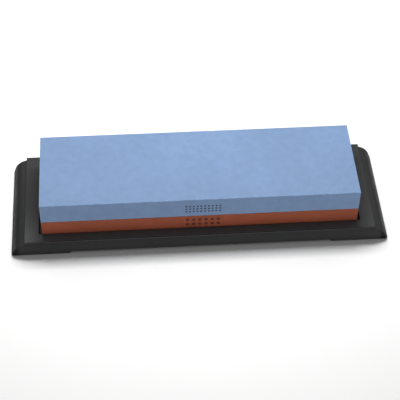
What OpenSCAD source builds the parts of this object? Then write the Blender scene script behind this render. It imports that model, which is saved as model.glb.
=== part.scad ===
// Two-layer sharpening whetstone that stands loose in the pocket of a moulded base.
// Millimetres. X runs along the stone, Y across it and Z up. The origin is the middle of the
// footprint, on the table.

/* [Stone] */
// Length of the stone
stone_l = 200; // [120:1:260]
// Width of the stone
stone_w = 60; // [40:1:90]
// Height of the whole stone, both layers and the film between them together
stone_h = 30; // [18:0.5:50]
// Thickness of the resin film that bonds the two layers
film_t = 0.2; // [0.1:0.05:0.6]
// How far the film stops short of the stone's sides
film_inset = 0.3; // [0:0.1:2]
// Bevel along the stone's outer edges
stone_bevel = 0.4; // [0.2:0.1:3]

/* [Pocket] */
// Depth of the pocket, from the base's flat top down to the stone's underside
pocket_d = 4.3; // [2:0.1:5.5]
// Gap between each end of the stone and the pocket's end wall
end_gap = 2.2; // [0.3:0.1:5]
// Gap between each long side of the stone and the pocket's side wall
side_gap = 0.4; // [0.3:0.1:3]
// Radius of the pocket's upright corners
pocket_corner_r = 1; // [0.3:0.1:4]
// Height of the narrow cross bars that carry the stone clear of the pocket's floor
bar_h = 0.6; // [0.3:0.1:1.5]
// Width of each cross bar
bar_w = 2; // [1:0.1:6]
// Number of cross bars
bar_count = 9; // [2:1:15]
// Drain gap between the ends of a cross bar and the pocket's side walls
bar_end_gap = 3; // [1:0.5:10]

/* [Base] */
// Height of the base's flat top above the table
base_h = 12; // [9:0.1:20]
// Width of the base from each long side of the stone to the outer face
rim_w = 7; // [5:0.1:20]
// Length of flat top beyond each end of the stone
land_l = 11; // [6:0.1:30]
// Radius of the base's upright outer corners
base_corner_r = 1.2; // [0.3:0.1:4]

/* [End moulding] */
// Length of the rounded moulding beyond the flat top, at each end
moulding_l = 9; // [6:0.5:14]
// Height of the upright step from the flat top down to the moulding
step_h = 2.3; // [1:0.1:3]
// How far the moulding's round stands out from a straight line between its two ends
moulding_bulge = 1.8; // [0.5:0.1:2.6]
// Height of the upright lip at the moulding's foot
lip_h = 1.2; // [0.8:0.1:2]
// Width of the flat on top of that lip
lip_w = 0.4; // [0.2:0.1:1]

/* [Shell and ribs] */
// Thickness of the skirt, the flat top and the moulding
shell_t = 2.2; // [1.4:0.1:3]
// Thickness of the pocket's floor
floor_t = 2; // [1.2:0.1:3]
// Thickness of the pocket's walls
pocket_wall_t = 1.6; // [1:0.1:2.5]
// Thickness of the ribs under the base
rib_t = 1.4; // [0.8:0.1:3]
// Widest spacing of the ribs, both ways
rib_pitch = 20; // [12:1:30]
// How far the ribs stop short of the skirt's relieved lower edge
rib_clear = 0.5; // [0.2:0.1:1.5]

/* [Feet] */
// Length of the full-depth foot at each end of the base
foot_l = 36; // [30:1:60]
// Height by which the skirt is cut away between the feet
relief_h = 1.5; // [0.5:0.1:3]
// Run of the sloping end of that cut
relief_run = 2; // [0.5:0.1:6]
// Diameter of each rubber pad
pad_d = 14; // [8:0.5:18]
// Thickness of each rubber pad
pad_t = 2; // [1.2:0.1:3]
// Height by which each pad stands out under the base
pad_proud = 0.3; // [0.2:0.1:0.8]
// Gap all round a pad in its socket
pad_gap = 0.1; // [0.05:0.05:0.5]
// Wall round each pad's socket
socket_wall = 1.8; // [1:0.1:4]
// Distance from the long outer face of the base to a pad's centre
pad_from_side = 15; // [12:0.5:22]

/* [Hidden] */

// A little extra that carries a cut clear through a face
cut = 1;
// Facets of a full circle, for the preview
$fn = 96;

// Layers of the stone
layer_t = (stone_h - film_t) / 2;
seat_z = base_h - pocket_d;
film_z = seat_z + layer_t;
fine_z = film_z + film_t;

// Outline of the base
land_half = stone_l / 2 + land_l;
base_half_l = land_half + moulding_l;
base_half_w = stone_w / 2 + rim_w;
foot_z = pad_proud;

// Pocket
pocket_half_l = stone_l / 2 + end_gap;
pocket_half_w = stone_w / 2 + side_gap;
floor_z = seat_z - bar_h;
under_floor_z = floor_z - floor_t;
bar_pitch = 2 * pocket_half_l / (bar_count + 1);
bar_half_l = pocket_half_w - bar_end_gap;

// Centre of the moulding's round, which meets the foot of the step and the top of the lip
round_top = [land_half, base_h - step_h];
round_foot = [base_half_l - lip_w, lip_h];
round_chord = round_foot - round_top;
half_chord = norm(round_chord) / 2;
moulding_r = (half_chord * half_chord + moulding_bulge * moulding_bulge) / (2 * moulding_bulge);
round_centre = (round_top + round_foot) / 2
    + (moulding_r - moulding_bulge) * [round_chord[1], -round_chord[0]] / (2 * half_chord);

// Ribs: the fewest equal bays that are no wider than rib_pitch
rib_span_l = 2 * pocket_half_l;
rib_span_w = 2 * (base_half_w - shell_t);
bays_l = ceil(rib_span_l / rib_pitch);
bays_w = ceil(rib_span_w / rib_pitch);
rib_z = foot_z + relief_h + rib_clear;

// Pads and their sockets, midway along the flat underside of each foot
relief_half = base_half_l - foot_l;
socket_r = pad_d / 2 + pad_gap;
pad_x = (land_half + relief_half + relief_run) / 2;
pad_y = base_half_w - pad_from_side;

// Rectangle centred on the origin, with a cut-off corner at each end of each side
module bevelled_rect(size, bevel) {
    x = size[0] / 2;
    y = size[1] / 2;
    polygon([[-x + bevel, -y], [x - bevel, -y], [x, -y + bevel], [x, y - bevel],
             [x - bevel, y], [-x + bevel, y], [-x, y - bevel], [-x, -y + bevel]]);
}

// Rectangle centred on the origin, with true round corners
module round_rect(half_l, half_w, r) {
    square([2 * (half_l - r), 2 * half_w], center = true);
    square([2 * half_l, 2 * (half_w - r)], center = true);
    for (sx = [-1, 1], sy = [-1, 1])
        translate([sx * (half_l - r), sy * (half_w - r)])
            circle(r = r);
}

// One abrasive layer from z = 0 up, with its upper outer edges and its corners bevelled
module layer_block() {
    intersection() {
        linear_extrude(layer_t)
            bevelled_rect([stone_l, stone_w], stone_bevel);
        rotate([90, 0, 90])
            linear_extrude(2 * stone_l, center = true)
                bevelled_rect([stone_w, 2 * layer_t], stone_bevel);
        rotate([90, 0, 0])
            linear_extrude(2 * stone_w, center = true)
                bevelled_rect([stone_l, 2 * layer_t], stone_bevel);
    }
}

module fine_layer() {
    color("#8DAAD6")
        translate([0, 0, fine_z])
            layer_block();
}

module bond_film() {
    color("#4A4A50")
        translate([0, 0, film_z])
            linear_extrude(film_t)
                square([stone_l - 2 * film_inset, stone_w - 2 * film_inset], center = true);
}

module coarse_layer() {
    color("#A9573A")
        translate([0, 0, film_z])
            mirror([0, 0, 1])
                layer_block();
}

// Side view of the base with everything drawn in by inset: flat top, step, round and lip
module side_view(inset) {
    translate([-land_half + inset, 0])
        square([2 * (land_half - inset), base_h - inset]);
    for (s = [0, 1])
        mirror([s, 0]) {
            intersection() {
                translate(round_centre)
                    circle(r = moulding_r - inset);
                square([round_foot[0], round_top[1]]);
            }
            if (lip_h > inset)
                square([base_half_l - inset, lip_h - inset]);
        }
}

// The base as a full block: its side view carried across, with round upright corners
module base_block() {
    intersection() {
        rotate([90, 0, 0])
            linear_extrude(2 * base_half_w, center = true)
                side_view(0);
        translate([0, 0, foot_z])
            linear_extrude(base_h)
                round_rect(base_half_l, base_half_w, base_corner_r);
    }
}

// The hollow under the base, open downwards
module base_hollow() {
    rotate([90, 0, 0])
        linear_extrude(2 * (base_half_w - shell_t), center = true)
            side_view(shell_t);
}

// Tub that forms the pocket, and the ribs and sockets below it, all within the base's outline
module inner_work() {
    translate([0, 0, under_floor_z])
        linear_extrude(base_h - under_floor_z)
            round_rect(pocket_half_l + pocket_wall_t, pocket_half_w + pocket_wall_t,
                       pocket_corner_r + pocket_wall_t);
    intersection() {
        base_block();
        union() {
            for (i = [0 : bays_l])
                translate([-rib_span_l / 2 + i * rib_span_l / bays_l - rib_t / 2,
                           -base_half_w, rib_z])
                    cube([rib_t, 2 * base_half_w, base_h]);
            for (i = [1 : bays_w - 1])
                translate([-base_half_l, -rib_span_w / 2 + i * rib_span_w / bays_w - rib_t / 2,
                           rib_z])
                    cube([2 * base_half_l, rib_t, base_h]);
        }
    }
    for (sx = [-1, 1], sy = [-1, 1])
        translate([sx * pad_x, sy * pad_y, foot_z])
            cylinder(r = socket_r + socket_wall, h = floor_z - foot_z);
}

// The pocket with its cross bars left standing
module pocket() {
    difference() {
        translate([0, 0, floor_z])
            linear_extrude(base_h)
                round_rect(pocket_half_l, pocket_half_w, pocket_corner_r);
        for (i = [1 : bar_count])
            translate([-pocket_half_l + i * bar_pitch - bar_w / 2, -bar_half_l, 0])
                cube([bar_w, 2 * bar_half_l, seat_z]);
    }
}

// Cut that lifts the skirt's lower edge between the two feet
module skirt_relief() {
    rotate([90, 0, 0])
        linear_extrude(2 * (base_half_w + cut), center = true)
            polygon([[-relief_half, foot_z - cut], [-relief_half, foot_z],
                     [-relief_half + relief_run, foot_z + relief_h],
                     [relief_half - relief_run, foot_z + relief_h],
                     [relief_half, foot_z], [relief_half, foot_z - cut]]);
}

module base_tray() {
    color("#2B2C2E")
        difference() {
            union() {
                difference() {
                    base_block();
                    base_hollow();
                }
                inner_work();
            }
            pocket();
            skirt_relief();
            for (sx = [-1, 1], sy = [-1, 1])
                translate([sx * pad_x, sy * pad_y, 0])
                    cylinder(r = socket_r, h = pad_t);
        }
}

module foot_pad(sx, sy) {
    color("#1C1C1D")
        translate([sx * pad_x, sy * pad_y, 0])
            cylinder(d = pad_d, h = pad_t);
}

fine_layer();
bond_film();
coarse_layer();
base_tray();
foot_pad(-1, -1);  // foot_pad_front_left
foot_pad(1, -1);  // foot_pad_front_right
foot_pad(-1, 1);  // foot_pad_back_left
foot_pad(1, 1);  // foot_pad_back_right
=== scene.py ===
"""Looks for the two-layer whetstone that stands in the pocket of its moulded base.

Metres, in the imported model's frame: X along the stone, Y across it towards the back, Z up.
"""

import math

import bmesh
import bpy
from mathutils import Matrix, Vector, noise


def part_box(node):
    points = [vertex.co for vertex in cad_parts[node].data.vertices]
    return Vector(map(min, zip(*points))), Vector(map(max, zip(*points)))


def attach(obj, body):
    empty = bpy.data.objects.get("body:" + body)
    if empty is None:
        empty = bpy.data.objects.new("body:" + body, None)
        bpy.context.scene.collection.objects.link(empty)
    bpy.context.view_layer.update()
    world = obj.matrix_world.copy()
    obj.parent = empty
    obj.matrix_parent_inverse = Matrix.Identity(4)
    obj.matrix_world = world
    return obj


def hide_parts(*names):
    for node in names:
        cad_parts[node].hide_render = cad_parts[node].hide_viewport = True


MM = 0.001
WHITE = (1, 1, 1)
NEARLY_ZERO = 1e-9
NOISE_RANGE = (0.3, 0.7)    # most of a noise texture's values lie in here
MIX_SHARE, MIX_A, MIX_B, MIX_RESULT = 0, 6, 7, 2    # a Mix node's sockets for colours

# Abrasives: colour, size of the grains, how much grit and clouds vary it, and how much paler the
# arrises are, partly from wear and partly as a painted highlight
FINE_COLOR = (0.163, 0.247, 0.404)
FINE_GRIT = {
    "grain": 0.28 * MM,
    "grit_contrast": 0.06,
    "cloud_contrast": 0.045,
    "wear_and_highlight_factor": 1.35,
}
COARSE_COLOR = (0.264, 0.064, 0.029)
COARSE_GRIT = {
    "grain": 0.5 * MM,
    "grit_contrast": 0.16,
    "cloud_contrast": 0.055,
    "wear_and_highlight_factor": 1.2,
}

# Grit and pores, in grains: depth of the grit, and the pores' spacing, patches and depth; then how
# dark the painted shade in the pores is
GRIT_DEPTH = 0.16
PORE_SPACING = 2.6
PORE_PATCH = 7
PORE_DEPTH = 0.5
PORE_PAINTED_SHADE = 0.45

# Stone: spacing of its surface lattice, with closer rows by each arris, and worn arrises
FINE_SEED = 3.1
COARSE_SEED = 7.7
LATTICE_STEP = 1.25 * MM
ARRIS_ROWS = (0, 0.10 * MM, 0.22 * MM, 0.38 * MM, 0.62 * MM)
ARRIS_RADIUS = 0.38 * MM
JOINT_RADIUS = 0.12 * MM
ARRIS_WANDER = 0.3
ARRIS_WANDER_LENGTH = 9 * MM

# Chips along the front: place along X, size and depth
FINE_CHIPS = (
    (-83.6 * MM, 0.9 * MM, 0.28 * MM),
    (-81.2 * MM, 0.7 * MM, 0.22 * MM),
    (-79.4 * MM, 0.6 * MM, 0.18 * MM),
)
COARSE_CHIPS = (
    (94.2 * MM, 1.5 * MM, 0.5 * MM),
)

# Grit marks: thin printed dots on the front, small on the fine layer, large on the coarse one
MARK_CENTRE_X = 1.4 * MM
MARK_SUNK = 0.03 * MM
MARK_PROUD = 0.012 * MM
MARK_SIDES = 20
FINE_MARK = {"columns": 10, "rows": 3, "pitch": 2.35 * MM, "radius": 0.68 * MM}
FINE_MARK_BELOW_MIDDLE = 1.0 * MM
FINE_INK = (0.012, 0.020, 0.050)
COARSE_MARK = {"columns": 6, "rows": 2, "pitch": 3.9 * MM, "radius": 1.15 * MM}
COARSE_MARK_HEIGHT = 9.4 * MM
COARSE_INK = (0.070, 0.016, 0.010)

# Base: rounding of its moulded edges
MOULDED_EDGE = 0.45 * MM
SHARP_ANGLE = math.radians(28)
WELD_DISTANCE = 0.001 * MM
FLAT_ANGLE = math.radians(0.6)

# Base plastic: colours, and the grain of its sparked texture
SPARK_SIZE = 0.55 * MM
SPARK_DEPTH = 0.028 * MM
PLASTIC_DARK = (0.0300, 0.0305, 0.0305)
PLASTIC_PALE = (0.0370, 0.0375, 0.0375)
PLASTIC_SCUFFED = (0.062, 0.063, 0.065)
PLASTIC_RUBBED = (0.042, 0.042, 0.043)

# Painted light on the base's flat top: its two colours, how far under the flat top it starts and
# is full, and its spread
TOP_PAINTED_HIGHLIGHT = (0.075, 0.077, 0.079)
RIM_PAINTED_LIGHT = (0.100, 0.101, 0.103)
PAINTED_LIGHT_START = 0.9 * MM
PAINTED_LIGHT_FULL = 0.2 * MM
PAINTED_HIGHLIGHT_WIDTH = 32 * MM
PAINTED_LIGHT_FADE = 4 * MM

# Painted shade on the base: the upper part of the long outer walls, and both ends
WALL_PAINTED_SHADE = (0.0115, 0.0117, 0.0117)
WALL_DEPTH = 0.7 * MM
WALL_START = 4 * MM
END_PAINTED_SHADE = (0.0080, 0.0081, 0.0081)
END_WIDTH = 6.5 * MM

# Other materials, each between two colours
RESIN_DARK = (0.075, 0.062, 0.072)
RESIN_PALE = (0.13, 0.105, 0.12)
RUBBER_DARK = (0.010, 0.010, 0.011)
RUBBER_BLOOM = (0.022, 0.022, 0.022)
FLOOR_DARK = (0.92, 0.92, 0.915)
FLOOR_PALE = (0.94, 0.94, 0.935)

# Pads: steps round a turned pad, and its turned outline
PAD_STEPS = 72
PAD_EDGE = 0.45 * MM
PAD_EDGE_STEPS = 4
PAD_GROOVES = (2.1 * MM, 3.7 * MM, 5.3 * MM)
PAD_GROOVE_HALF = 0.35 * MM
PAD_GROOVE_DEPTH = 0.3 * MM

# Camera, at the photograph's angle
CAMERA_AZIMUTH = math.radians(4.939)
CAMERA_ELEVATION = math.radians(48.153)
CAMERA_ROLL = math.radians(1.159)
CAMERA_PLACE = (-45.25 * MM, -545.31 * MM, 614.98 * MM)
CAMERA_LENS = 112.76
CAMERA_SENSOR = 36
CAMERA_CLIP_START = 0.01

# Studio: soft lights, brightness of the surroundings, and the floor
LIGHTS = {
    "overhead": {
        "location": (0, 0.10, 0.36),
        "target": (0, 0, 0),
        "size": (0.26, 0.08),
        "power": 1.44,
    },
    "behind": {
        "location": (0, 2.4, 2.6),
        "target": (0, 0, 0),
        "size": (4.8, 2.4),
        "power": 56.0,
    },
    "low_front": {
        "location": (0, -2.6, 0.22),
        "target": (0, 0, 0.02),
        "size": (4.0, 0.30),
        "power": 24.0,
    },
}
SURROUNDINGS = 0.208
FLOOR_SIZE = 4.0
FLOOR_CELLS = 24


def tint(color, factor=1.0):
    """The colour made lighter or darker by this factor, with an alpha of 1."""
    return tuple(channel * factor for channel in color) + (1.0,)


class Finish:
    """A material's node tree, built one node at a time around its Principled shader."""

    def __init__(self, name):
        self.material = bpy.data.materials.new(name)
        self.material.use_nodes = True
        self.tree = self.material.node_tree
        self.shader = self.tree.nodes["Principled BSDF"]
        self.place = self.add("ShaderNodeTexCoord").outputs["Object"]

    def add(self, kind, values=None, **settings):
        """Adds a node; values are numbers, colours or sockets for its named inputs."""
        node = self.tree.nodes.new(kind)
        for name, value in settings.items():
            setattr(node, name, value)
        for name, value in (values or {}).items():
            self.put(node, name, value)
        return node

    def put(self, node, name, value):
        """Sets or links one input of a node."""
        if isinstance(value, bpy.types.NodeSocket):
            self.tree.links.new(value, node.inputs[name])
        else:
            node.inputs[name].default_value = value

    def surface(self, **values):
        """Sets or links the shader's inputs, named with underscores for spaces."""
        for name, value in values.items():
            self.put(self.shader, name.replace("_", " "), value)

    def stretched(self, x, y, z):
        """The object's coordinates, drawn out along each axis by these factors."""
        scale = (1 / x, 1 / y, 1 / z)
        return self.add("ShaderNodeMapping", {"Vector": self.place, "Scale": scale}).outputs[0]

    def along(self, axis):
        """The object's own X, Y or Z coordinate."""
        return self.add("ShaderNodeSeparateXYZ", {"Vector": self.place}).outputs[axis]

    def from_middle(self, axis):
        """Distance from the object's middle along X or Y."""
        return self.combine("ABSOLUTE", self.along(axis), 0.0)

    def cloud(self, size, detail=3.0, roughness=0.55, place=None):
        """Soft noise from 0 to 1 with features of this size."""
        node = self.add("ShaderNodeTexNoise", {
            "Vector": place or self.place,
            "Scale": 1 / size,
            "Detail": detail,
            "Roughness": roughness,
        })
        return node.outputs["Fac"]

    def cells(self, size):
        """Distance to the nearest of scattered points this far apart, as a share of that."""
        node = self.add("ShaderNodeTexVoronoi", {"Vector": self.place, "Scale": 1 / size})
        return node.outputs["Distance"]

    def span(self, value, low, high, to_low=0.0, to_high=1.0):
        """Carries low..high smoothly to to_low..to_high, and no further."""
        node = self.add("ShaderNodeMapRange", {
            "Value": value,
            "From Min": low,
            "From Max": high,
            "To Min": to_low,
            "To Max": to_high,
        }, interpolation_type="SMOOTHSTEP")
        return node.outputs["Result"]

    def combine(self, operation, a, b):
        """Two numbers or sockets put together, such as MULTIPLY or ADD."""
        node = self.add("ShaderNodeMath", operation=operation)
        self.put(node, 0, a)
        self.put(node, 1, b)
        return node.outputs[0]

    def product(self, first, *others):
        """Numbers or sockets multiplied together."""
        for other in others:
            first = self.combine("MULTIPLY", first, other)
        return first

    def blend(self, share, a, b, blend_type="MIX"):
        """Colour a where share is 0 and colour b, or the two multiplied, where it is 1."""
        node = self.add("ShaderNodeMix", data_type="RGBA", blend_type=blend_type)
        self.put(node, MIX_SHARE, share)
        self.put(node, MIX_A, a)
        self.put(node, MIX_B, b)
        return node.outputs[MIX_RESULT]

    def varied(self, color, amount, variation):
        """The colour made darker and lighter by up to this variation, as amount goes 0 to 1."""
        factor = self.blend(self.span(amount, *NOISE_RANGE),
                            tint(WHITE, 1 - variation), tint(WHITE, 1 + variation))
        return self.blend(1.0, color, factor, blend_type="MULTIPLY")

    def edge_wear(self):
        """The wear attribute that the meshes carry: 1 on a worn edge and 0 away from it."""
        return self.add("ShaderNodeAttribute", attribute_name="wear").outputs["Fac"]

    def relief(self, height, distance, below=None):
        """A bump of this depth, on top of the bump in below if it is given."""
        values = {"Height": height, "Distance": distance, "Strength": 1.0}
        if below is not None:
            values["Normal"] = below
        return self.add("ShaderNodeBump", values).outputs["Normal"]


def abrasive_finish(name, color, grain, grit_contrast, cloud_contrast, wear_and_highlight_factor):
    """Bonded abrasive: soft clouds of colour, grit, open pores painted darker as painted shade,
    and pale arrises, partly wear and partly a painted highlight.
    """
    f = Finish(name)
    grit = f.cloud(grain, detail=2.0, roughness=0.7)
    pore = f.product(f.span(f.cells(grain * PORE_SPACING), 0.10, 0.26, 1.0, 0.0),
                     f.span(f.cloud(grain * PORE_PATCH), 0.5, 0.62))

    shade = f.varied(tint(color), f.cloud(46 * MM, detail=2.0), cloud_contrast * 0.8)
    shade = f.varied(shade, f.cloud(5.2 * MM, detail=4.0, roughness=0.65), cloud_contrast)
    shade = f.varied(shade, grit, grit_contrast)
    # Painted shade: the open pores are painted darker.
    shade = f.blend(f.product(pore, 0.55), shade, tint(color, PORE_PAINTED_SHADE))
    # Paler arrises: partly wear, partly a painted highlight along the edges.
    wear_and_highlight = f.product(f.edge_wear(), f.span(f.cloud(2.4 * MM), 0.35, 0.6, 0.25, 1.0))
    shade = f.blend(wear_and_highlight, shade, tint(color, wear_and_highlight_factor))

    bump = f.relief(grit, grain * GRIT_DEPTH)
    bump = f.relief(f.combine("SUBTRACT", 1.0, pore), grain * PORE_DEPTH, below=bump)
    f.surface(
        Base_Color=shade,
        Roughness=f.span(grit, 0.25, 0.75, 0.78, 0.94),
        Normal=bump,
        IOR=1.5,
        Specular_IOR_Level=0.35,
    )
    return f.material


def resin_finish():
    """The bond film: dark resin with flow streaks along the stone."""
    f = Finish("bond_resin")
    flow = f.cloud(1.5 * MM, place=f.stretched(8, 1, 1))
    shade = f.blend(f.span(flow, *NOISE_RANGE), tint(RESIN_DARK), tint(RESIN_PALE))
    f.surface(
        Base_Color=shade,
        Roughness=f.span(flow, *NOISE_RANGE, 0.32, 0.55),
        Normal=f.relief(flow, 0.02 * MM),
        IOR=1.52,
    )
    return f.material


def moulded_plastic_finish(low, high, stone_front, stone_end):
    """Black moulded plastic in the box low to high: a fine sparked texture, faint flow clouds,
    scuffs, rubbed edges, painted shade on the upper long walls and on both ends, and a patchy
    painted highlight on the flat top that grows towards the front and the left, with paler
    painted light on the rim before the stone, where the stone's shadow falls."""
    f = Finish("base_plastic")
    flow = f.cloud(34 * MM, place=f.stretched(2.2, 1, 1))
    shade = f.blend(f.span(flow, *NOISE_RANGE), tint(PLASTIC_DARK), tint(PLASTIC_PALE))

    streaks = f.cloud(1.1 * MM, detail=4.0, place=f.stretched(14, 1, 1))
    scuff = f.product(f.span(streaks, 0.66, 0.74), f.span(f.cloud(22 * MM), 0.5, 0.64))
    shade = f.blend(f.product(scuff, 0.35), shade, tint(PLASTIC_SCUFFED))

    # Painted highlight: the flat top is painted paler in patches, more towards the front and the
    # left.
    flat_top = f.span(f.along("Z"), high.z - PAINTED_LIGHT_START, high.z - PAINTED_LIGHT_FULL)
    patches = f.span(f.cloud(7 * MM, detail=4.0), 0.25, 0.6, 0.78, 1.0)
    painted_light_patches = f.product(flat_top, patches)
    to_front = f.span(f.along("Y"), low.y, low.y + PAINTED_HIGHLIGHT_WIDTH, 1.0, 0.0)
    to_left = f.span(f.along("X"), low.x, high.x, 1.0, 0.4)
    painted_highlight = f.product(painted_light_patches, to_front, to_left)
    shade = f.blend(painted_highlight, shade, tint(TOP_PAINTED_HIGHLIGHT))

    # Painted light: the rim before the stone, which lies in the stone's shadow, is painted paler
    # still.
    beside_stone = f.span(f.from_middle("X"), stone_end - PAINTED_LIGHT_FADE, stone_end, 1.0, 0.0)
    across_rim = f.span(f.along("Y"), low.y, stone_front, 1.0, 0.6)
    before_stone = f.span(f.along("Y"), stone_front, stone_front + PAINTED_LIGHT_FADE, 1.0, 0.0)
    rim_painted_light = f.product(painted_light_patches, beside_stone, across_rim, before_stone)
    shade = f.blend(rim_painted_light, shade, tint(RIM_PAINTED_LIGHT))

    rubbed = f.product(f.edge_wear(), f.span(f.cloud(5 * MM), 0.4, 0.65, 0.1, 0.75))
    shade = f.blend(rubbed, shade, tint(PLASTIC_RUBBED))
    # Painted shade: the upper part of both long outer walls is painted darker towards the top.
    long_wall = f.span(f.from_middle("Y"), high.y - WALL_DEPTH, high.y - WALL_DEPTH / 2)
    wall_painted_shade = f.product(long_wall, f.span(f.along("Z"), low.z + WALL_START, high.z, 0.0, 0.5))
    shade = f.blend(wall_painted_shade, shade, tint(WALL_PAINTED_SHADE))
    # Painted shade: both ends of the base are painted darker towards the outside.
    end = f.span(f.from_middle("X"), high.x - END_WIDTH, high.x - END_WIDTH / 2)
    shade = f.blend(end, shade, tint(END_PAINTED_SHADE))

    rough = f.span(f.cloud(9 * MM, detail=4.0), *NOISE_RANGE, 0.40, 0.52)
    rough = f.combine("ADD", rough, f.product(f.combine("ADD", scuff, painted_highlight), 0.12))
    f.surface(
        Base_Color=shade,
        Roughness=rough,
        Normal=f.relief(f.cloud(SPARK_SIZE, detail=2.0, roughness=0.65), SPARK_DEPTH),
        IOR=1.5,
        Specular_IOR_Level=0.09,
    )
    return f.material


def rubber_finish():
    """Foot pads: dull black rubber with a dusty bloom."""
    f = Finish("pad_rubber")
    bloom = f.cloud(3.2 * MM, detail=4.0)
    f.surface(
        Base_Color=f.blend(f.span(bloom, 0.35, 0.7), tint(RUBBER_DARK), tint(RUBBER_BLOOM)),
        Roughness=f.span(bloom, *NOISE_RANGE, 0.72, 0.9),
        Normal=f.relief(f.cloud(0.3 * MM, detail=2.0), 0.02 * MM),
        Specular_IOR_Level=0.35,
    )
    return f.material


def ink_finish(name, color, paper):
    """Printed ink that has partly soaked into the grit under it."""
    f = Finish(name)
    soaked = f.span(f.cloud(0.35 * MM), 0.5, 0.72, 0.0, 0.6)
    f.surface(
        Base_Color=f.blend(soaked, tint(color), tint(paper, 0.7)),
        Roughness=f.span(soaked, 0.0, 0.6, 0.6, 0.85),
        Normal=f.relief(f.cloud(0.25 * MM), 0.02 * MM),
        Specular_IOR_Level=0.3,
    )
    return f.material


def floor_finish():
    """Pale studio floor with the faintest mottling."""
    f = Finish("studio_floor")
    mottle = f.cloud(120 * MM)
    f.surface(
        Base_Color=f.blend(mottle, tint(FLOOR_DARK), tint(FLOOR_PALE)),
        Roughness=f.span(mottle, *NOISE_RANGE, 0.8, 0.9),
        Specular_IOR_Level=0.1,
    )
    return f.material


def new_piece(name, bm, material):
    """Turns a bmesh into a linked object with one material."""
    mesh = bpy.data.meshes.new(name)
    bm.to_mesh(mesh)
    bm.free()
    mesh.materials.append(material)
    piece = bpy.data.objects.new(name, mesh)
    bpy.context.scene.collection.objects.link(piece)
    return piece


def lattice_rows(low, high):
    """Positions from low to high: close rows just inside each end and even steps between."""
    margin = ARRIS_ROWS[-1]
    start = low + margin
    length = high - low - 2 * margin
    count = round(length / LATTICE_STEP)
    middle = [start + length * i / count for i in range(count + 1)]
    head = [low + row for row in ARRIS_ROWS[:-1]]
    tail = [high - row for row in reversed(ARRIS_ROWS[:-1])]
    return head + middle + tail


def lattice_shell(bm, rows):
    """The closed surface of a lattice block, as quads, from its positions along each axis."""
    last = [len(r) - 1 for r in rows]
    made = {}

    def corner(index):
        if index not in made:
            made[index] = bm.verts.new([rows[axis][index[axis]] for axis in range(3)])
        return made[index]

    for axis in range(3):
        across, along = (axis + 1) % 3, (axis + 2) % 3
        for side in (0, last[axis]):
            for i in range(last[across]):
                for j in range(last[along]):
                    ring = []
                    for di, dj in ((0, 0), (1, 0), (1, 1), (0, 1)):
                        index = [0, 0, 0]
                        index[axis] = side
                        index[across] = i + di
                        index[along] = j + dj
                        ring.append(corner(tuple(index)))
                    bm.faces.new(ring if side else reversed(ring))


def arris_radius(point, seed):
    """Radius of the worn arris near a point, which wanders a little along it."""
    wander = noise.noise(point / ARRIS_WANDER_LENGTH + Vector((seed, 0, 0)))
    fine = noise.noise(point / (ARRIS_WANDER_LENGTH / 6) + Vector((0, seed, 0)))
    return ARRIS_RADIUS * (1 + ARRIS_WANDER * (0.7 * wander + 0.5 * fine))


def arris_core(at, low, high, radius, joint_side):
    """The point that a rounded arris turns round; the joint's edges are rounded much less."""
    core = Vector([min(max(at[a], low[a] + radius), high[a] - radius) for a in range(3)])
    if joint_side == "below" and at.z < low.z + radius:
        core.z = max(at.z, low.z + JOINT_RADIUS)
    if joint_side == "above" and at.z > high.z - radius:
        core.z = min(at.z, high.z - JOINT_RADIUS)
    return core


def stone_layer(name, node, joint_side, chips, seed, material):
    """One abrasive layer, with small chips and with worn arrises all round except on the side
    where it joins the other layer: below or above."""
    low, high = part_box(node)
    bm = bmesh.new()
    lattice_shell(bm, [lattice_rows(low[axis], high[axis]) for axis in range(3)])
    wear = bm.verts.layers.float.new("wear")
    for vert in bm.verts:
        at = vert.co.copy()
        core = arris_core(at, low, high, arris_radius(at, seed), joint_side)
        out = at - core
        if sum(abs(distance) > NEARLY_ZERO for distance in out) > 1:
            vert.co = core + out.normalized() * max(abs(distance) for distance in out)
            vert[wear] = 1.0
        for x, size, depth in chips:
            away = (at - Vector((x, low.y, high.z))).length / size
            if away < 1:
                bite = (1 - away * away) ** 2
                vert.co -= out.normalized() * depth * bite
                vert[wear] = max(vert[wear], bite)
    for face in bm.faces:
        face.smooth = True
    piece = new_piece(name, bm, material)
    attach(piece, "stone")
    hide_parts(node)
    return piece


def dot_rows(name, centre, columns, rows, pitch, radius, material):
    """A printed grid of closed dots on the stone's front face."""
    bm = bmesh.new()
    for row in range(rows):
        for column in range(columns):
            x = centre.x + (column - (columns - 1) / 2) * pitch
            z = centre.z + (row - (rows - 1) / 2) * pitch
            middle = Matrix.Translation((x, centre.y + (MARK_SUNK - MARK_PROUD) / 2, z))
            bmesh.ops.create_cone(
                bm, cap_ends=True, segments=MARK_SIDES, radius1=radius, radius2=radius,
                depth=MARK_SUNK + MARK_PROUD, matrix=middle @ Matrix.Rotation(math.pi / 2, 4, "X"))
    piece = new_piece(name, bm, material)
    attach(piece, "stone")
    return piece


def softened_copy(name, node_object, material):
    """A piece with a CAD node's shape and every sharp edge slightly rounded."""
    bm = bmesh.new()
    bm.from_mesh(node_object.data)
    bmesh.ops.remove_doubles(bm, verts=bm.verts, dist=WELD_DISTANCE)
    bmesh.ops.dissolve_limit(bm, angle_limit=FLAT_ANGLE, verts=bm.verts, edges=bm.edges)
    sharp = [e for e in bm.edges if e.is_manifold and e.calc_face_angle() > SHARP_ANGLE]
    wear = bm.faces.layers.float.new("wear")
    rounded = bmesh.ops.bevel(bm, geom=sharp, offset=MOULDED_EDGE, segments=2, profile=0.5,
                              affect="EDGES", clamp_overlap=True)
    for face in bm.faces:
        face.smooth = True
    for face in rounded["faces"]:
        face[wear] = 1.0
    piece = new_piece(name, bm, material)
    weighted = piece.modifiers.new("flat faces stay flat", "WEIGHTED_NORMAL")
    weighted.keep_sharp = True
    return piece


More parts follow.
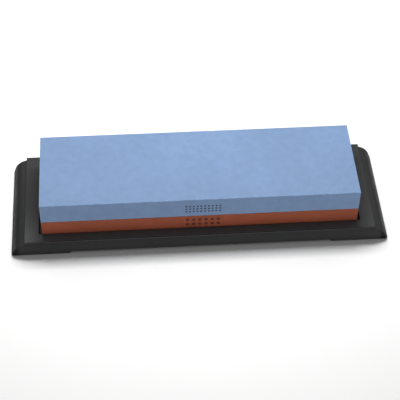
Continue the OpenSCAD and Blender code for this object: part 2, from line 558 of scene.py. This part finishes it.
def pad_outline(radius, low, high):
    """Half section of a pad, from the middle of its underside round to the middle of its top."""
    points = [(0, low)]
    for groove in PAD_GROOVES:
        points += [
            (groove - PAD_GROOVE_HALF, low),
            (groove - PAD_GROOVE_HALF / 2, low + PAD_GROOVE_DEPTH),
            (groove + PAD_GROOVE_HALF / 2, low + PAD_GROOVE_DEPTH),
            (groove + PAD_GROOVE_HALF, low),
        ]
    for i in range(PAD_EDGE_STEPS + 1):
        turn = math.radians(90 * i / PAD_EDGE_STEPS)
        points.append((radius - PAD_EDGE + PAD_EDGE * math.sin(turn),
                       low + PAD_EDGE - PAD_EDGE * math.cos(turn)))
    return points + [(radius, high), (0, high)]


def turned_pad(name, node, material):
    """A foot pad turned from its outline, with shallow gripping rings underneath."""
    low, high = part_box(node)
    centre = (low + high) / 2
    radius = (high.x - low.x) / 2
    bm = bmesh.new()
    outline = pad_outline(radius, low.z, high.z)
    verts = [bm.verts.new((centre.x + r, centre.y, z)) for r, z in outline]
    edges = [bm.edges.new(pair) for pair in zip(verts, verts[1:])]
    bmesh.ops.spin(bm, geom=verts + edges, cent=centre, axis=(0, 0, 1),
                   angle=2 * math.pi, steps=PAD_STEPS, use_merge=True)
    bmesh.ops.remove_doubles(bm, verts=bm.verts, dist=WELD_DISTANCE)
    bmesh.ops.recalc_face_normals(bm, faces=bm.faces)
    piece = new_piece(name, bm, material)
    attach(piece, "base")
    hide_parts(node)
    return piece


def add_camera():
    """The camera, at the photograph's viewing angle."""
    level = Vector((math.cos(CAMERA_AZIMUTH), -math.sin(CAMERA_AZIMUTH), 0))
    forward = Vector((
        math.sin(CAMERA_AZIMUTH) * math.cos(CAMERA_ELEVATION),
        math.cos(CAMERA_AZIMUTH) * math.cos(CAMERA_ELEVATION),
        -math.sin(CAMERA_ELEVATION),
    ))
    upright = level.cross(forward)
    right = level * math.cos(CAMERA_ROLL) + upright * math.sin(CAMERA_ROLL)
    top = upright * math.cos(CAMERA_ROLL) - level * math.sin(CAMERA_ROLL)
    data = bpy.data.cameras.new("camera")
    data.sensor_width = CAMERA_SENSOR
    data.lens = CAMERA_LENS
    data.clip_start = CAMERA_CLIP_START
    camera = bpy.data.objects.new("camera", data)
    camera.matrix_world = Matrix((right, top, -forward)).transposed().to_4x4()
    camera.location = CAMERA_PLACE
    bpy.context.scene.collection.objects.link(camera)
    bpy.context.scene.camera = camera


def add_softbox(name, location, target, size, power):
    """A soft area light, turned towards a point."""
    data = bpy.data.lights.new(name, "AREA")
    data.shape = "RECTANGLE"
    data.size, data.size_y = size
    data.energy = power
    light = bpy.data.objects.new(name, data)
    light.location = location
    light.visible_camera = False
    aim = Vector(target) - Vector(location)
    light.rotation_euler = aim.to_track_quat("-Z", "Y").to_euler()
    bpy.context.scene.collection.objects.link(light)


def add_studio():
    """Floor, even white surroundings and the soft lights."""
    bm = bmesh.new()
    bmesh.ops.create_grid(bm, x_segments=FLOOR_CELLS, y_segments=FLOOR_CELLS, size=FLOOR_SIZE)
    new_piece("studio_floor", bm, floor_finish())
    world = bpy.data.worlds.new("studio")
    world.use_nodes = True
    background = world.node_tree.nodes["Background"]
    background.inputs["Color"].default_value = tint(WHITE)
    background.inputs["Strength"].default_value = SURROUNDINGS
    bpy.context.scene.world = world
    for name, light in LIGHTS.items():
        add_softbox(name, **light)
    bpy.context.scene.view_settings.view_transform = "Standard"


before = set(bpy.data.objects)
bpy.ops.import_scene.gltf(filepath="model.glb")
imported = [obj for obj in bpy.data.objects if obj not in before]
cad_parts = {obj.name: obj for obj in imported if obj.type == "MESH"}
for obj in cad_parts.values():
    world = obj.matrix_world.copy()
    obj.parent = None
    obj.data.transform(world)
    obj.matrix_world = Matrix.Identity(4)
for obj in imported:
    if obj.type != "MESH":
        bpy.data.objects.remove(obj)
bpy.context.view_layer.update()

fine_low, fine_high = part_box("fine_layer")
coarse_low, coarse_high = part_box("coarse_layer")
tray_low, tray_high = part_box("base_tray")

fine_finish = abrasive_finish("fine_abrasive", FINE_COLOR, **FINE_GRIT)
fine_stone = stone_layer("fine_stone", "fine_layer", "below", FINE_CHIPS, FINE_SEED, fine_finish)

coarse_finish = abrasive_finish("coarse_abrasive", COARSE_COLOR, **COARSE_GRIT)
coarse_stone = stone_layer("coarse_stone", "coarse_layer", "above", COARSE_CHIPS, COARSE_SEED,
                           coarse_finish)

fine_mark_z = (fine_low.z + fine_high.z) / 2 - FINE_MARK_BELOW_MIDDLE
fine_mark = dot_rows("fine_grit_mark", Vector((MARK_CENTRE_X, fine_low.y, fine_mark_z)),
                     material=ink_finish("fine_ink", FINE_INK, FINE_COLOR), **FINE_MARK)

coarse_mark_z = coarse_low.z + COARSE_MARK_HEIGHT
coarse_mark = dot_rows("coarse_grit_mark", Vector((MARK_CENTRE_X, coarse_low.y, coarse_mark_z)),
                       material=ink_finish("coarse_ink", COARSE_INK, COARSE_COLOR), **COARSE_MARK)

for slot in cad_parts["bond_film"].material_slots:
    slot.material = resin_finish()

base = softened_copy("moulded_base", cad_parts["base_tray"],
                     moulded_plastic_finish(tray_low, tray_high, fine_low.y, fine_high.x))
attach(base, "base")
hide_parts("base_tray")

rubber = rubber_finish()
for corner in ("front_left", "front_right", "back_left", "back_right"):
    pad = turned_pad("rubber_pad_" + corner, "foot_pad_" + corner, rubber)

add_camera()
add_studio()
